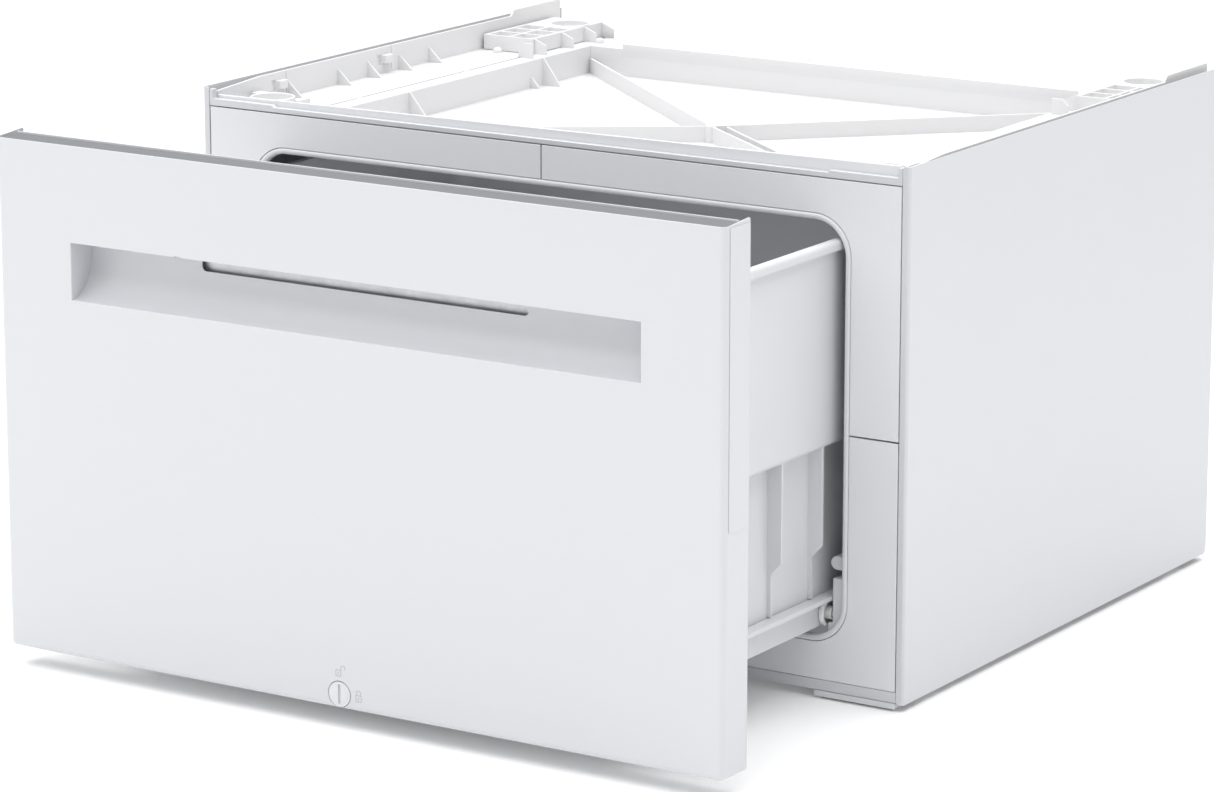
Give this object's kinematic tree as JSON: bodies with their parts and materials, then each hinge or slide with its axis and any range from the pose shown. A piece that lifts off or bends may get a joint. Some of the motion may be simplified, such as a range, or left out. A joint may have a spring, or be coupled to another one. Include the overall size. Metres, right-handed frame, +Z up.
{
  "type": "washing machine plinth with drawer",
  "caption": "White floor plinth for a washing machine: steel sides, a ribbed plastic deck with foot cups, and a storage drawer on rollers with a recessed grip and a coin-slot lock.",
  "frame": {"origin": "on the floor, under the middle of the object's length and width with the drawer half open", "axes": "+X to the right seen from the front, +Y to the back, +Z up"},
  "size_m": [0.598, 0.72, 0.3892],
  "materials": {
    "painted_steel": "smooth white gloss paint",
    "painted_steel_insert": "smooth white moulding",
    "bezel_plastic": "fine satin moulding",
    "deck_plastic": "satin white moulding",
    "moulded_plastic": "satin white moulding",
    "tub_plastic": "smooth white moulding",
    "roller_plastic": "smooth turned nylon",
    "grey_strip": "satin grey",
    "zinc_steel": "dull zinc-plated sheet",
    "bright_steel": "bright plated steel",
    "pad_rubber": "matt black rubber"
  },
  "bodies": {
    "cabinet": {"side_panel_left": "painted_steel", "tray_side_left": "deck_plastic", "rear_seat_left": "deck_plastic", "front_seat_left": "deck_plastic", "side_sill_left": "zinc_steel", "runner_left": "zinc_steel", "roller_bracket_left": "moulded_plastic", "guide_peg_left": "moulded_plastic", "front_axle_left": "bright_steel", "bezel_upper_left": "bezel_plastic", "bezel_lower_left": "bezel_plastic", "foot_front_left": "moulded_plastic", "foot_pad_front_left": "pad_rubber", "foot_rear_left": "moulded_plastic", "foot_pad_rear_left": "pad_rubber", "side_panel_right": "painted_steel", "tray_side_right": "deck_plastic", "rear_seat_right": "deck_plastic", "front_seat_right": "deck_plastic", "side_sill_right": "zinc_steel", "runner_right": "zinc_steel", "roller_bracket_right": "moulded_plastic", "guide_peg_right": "moulded_plastic", "front_axle_right": "bright_steel", "bezel_upper_right": "bezel_plastic", "bezel_lower_right": "bezel_plastic", "foot_front_right": "moulded_plastic", "foot_pad_front_right": "pad_rubber", "foot_rear_right": "moulded_plastic", "foot_pad_rear_right": "pad_rubber", "back_panel": "zinc_steel", "opening_trim": "moulded_plastic", "top_front_rail": "painted_steel", "bottom_front_rail": "painted_steel", "rear_top_rail": "zinc_steel", "rear_sill": "zinc_steel", "top_tray": "deck_plastic"},
    "drawer": {"rear_axle_left": "bright_steel", "slide_rail_left": "moulded_plastic", "flange_pad_left": "painted_steel", "tub_screw_upper_left": "bright_steel", "tub_screw_lower_left": "bright_steel", "rear_axle_right": "bright_steel", "slide_rail_right": "moulded_plastic", "flange_pad_right": "painted_steel", "tub_screw_upper_right": "bright_steel", "tub_screw_lower_right": "bright_steel", "drawer_front": "painted_steel", "top_strip": "grey_strip", "grip_recess": "painted_steel_insert", "backing_panel": "zinc_steel", "drawer_tub": "tub_plastic", "lock_housing": "moulded_plastic"},
    "lock": {"lock_knob": "moulded_plastic", "lock_head": "bright_steel"},
    "front_roller_left": {"front_roller_left": "roller_plastic"},
    "front_roller_right": {"front_roller_right": "roller_plastic"},
    "rear_roller_left": {"rear_roller_left": "roller_plastic"},
    "rear_roller_right": {"rear_roller_right": "roller_plastic"}
  },
  "joints": [
    {"name": "drawer_slide", "type": "slide", "parent": "cabinet", "child": "drawer", "axis": [0, -1, 0], "range_m": [-0.208, 0.15]},
    {"name": "lock_turn", "type": "hinge", "parent": "drawer", "child": "lock", "pos_m": [-0.009, -0.36, 0.025], "axis": [0, 1, 0], "range_deg": [0, 90]},
    {"name": "front_roller_spin_left", "type": "hinge", "parent": "cabinet", "child": "front_roller_left", "pos_m": [-0.23325, -0.109, 0.0602], "axis": [1, 0, 0], "continuous": true},
    {"name": "rear_roller_spin_left", "type": "hinge", "parent": "drawer", "child": "rear_roller_left", "pos_m": [-0.246, 0.118, 0.0602], "axis": [1, 0, 0], "continuous": true},
    {"name": "front_roller_spin_right", "type": "hinge", "parent": "cabinet", "child": "front_roller_right", "pos_m": [0.23325, -0.109, 0.0602], "axis": [1, 0, 0], "continuous": true},
    {"name": "rear_roller_spin_right", "type": "hinge", "parent": "drawer", "child": "rear_roller_right", "pos_m": [0.246, 0.118, 0.0602], "axis": [1, 0, 0], "continuous": true}
  ],
  "couplings": [
    {"joint": "front_roller_spin_left", "follows": "drawer_slide", "rad_per_m": 100},
    {"joint": "rear_roller_spin_left", "follows": "drawer_slide", "rad_per_m": 100},
    {"joint": "front_roller_spin_right", "follows": "drawer_slide", "rad_per_m": 100},
    {"joint": "rear_roller_spin_right", "follows": "drawer_slide", "rad_per_m": 100}
  ]
}
